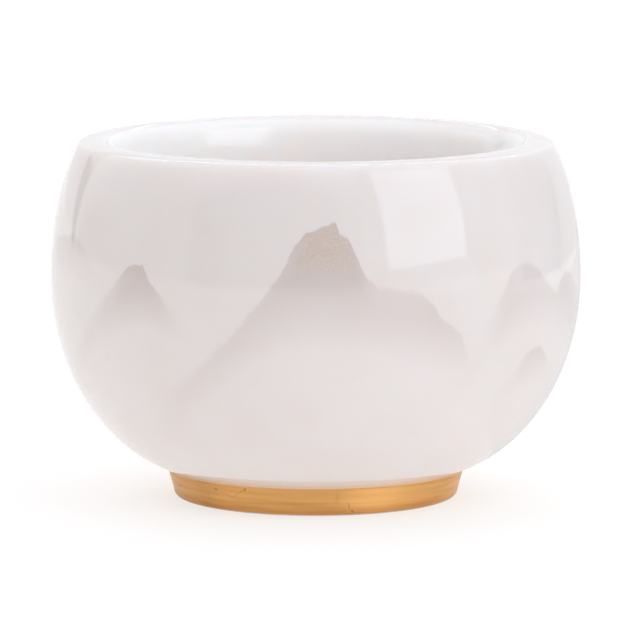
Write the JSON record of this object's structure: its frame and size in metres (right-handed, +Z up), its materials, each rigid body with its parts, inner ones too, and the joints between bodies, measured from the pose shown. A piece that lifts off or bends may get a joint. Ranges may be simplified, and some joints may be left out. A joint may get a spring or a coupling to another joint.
{
  "type": "porcelain tea cup",
  "caption": "Round-bellied glazed white porcelain tea cup with a thick incurved lip, a misty mountain design and a gilded foot ring, for drinking tea or display.",
  "frame": {"origin": "middle of the flat ring that the cup stands on", "axes": "+Z up along the cup's turning axis, -Y towards the viewer of the picture, +X to the viewer's right"},
  "size_m": [0.084, 0.084, 0.057],
  "materials": {
    "porcelain": "clear high-gloss glaze over a milky white body, with pale brown misty mountains painted under the glaze",
    "gilding": "satin burnished gold coat on the outside of the foot ring"
  },
  "bodies": {
    "root": {"cup": "porcelain"}
  },
  "joints": []
}
